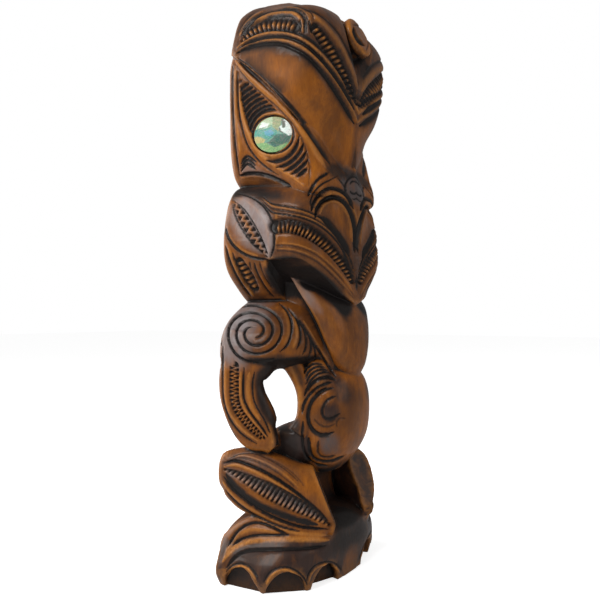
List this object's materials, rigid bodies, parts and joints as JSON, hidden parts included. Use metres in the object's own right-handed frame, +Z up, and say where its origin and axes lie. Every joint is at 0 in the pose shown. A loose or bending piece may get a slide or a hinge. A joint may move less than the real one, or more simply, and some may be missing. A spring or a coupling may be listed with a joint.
{
  "type": "tekoteko figure",
  "caption": "Carved wooden standing figure with shell disc eyes, an open gap inside each arm and a scalloped base cut from the same block.",
  "frame": {"origin": "middle of the flat underside of the base", "axes": "+Z up the figure; the front faces -Y; the figure's own right side is at -X"},
  "size_m": [0.1532, 0.088, 0.4494],
  "materials": {
    "wood": "satin lacquer over orange brown wood, grooves stained near black",
    "shell": "polished iridescent shell"
  },
  "bodies": {
    "root": {"carved_figure": "wood", "right_eye_shell": "shell", "left_eye_shell": "shell"}
  },
  "joints": []
}
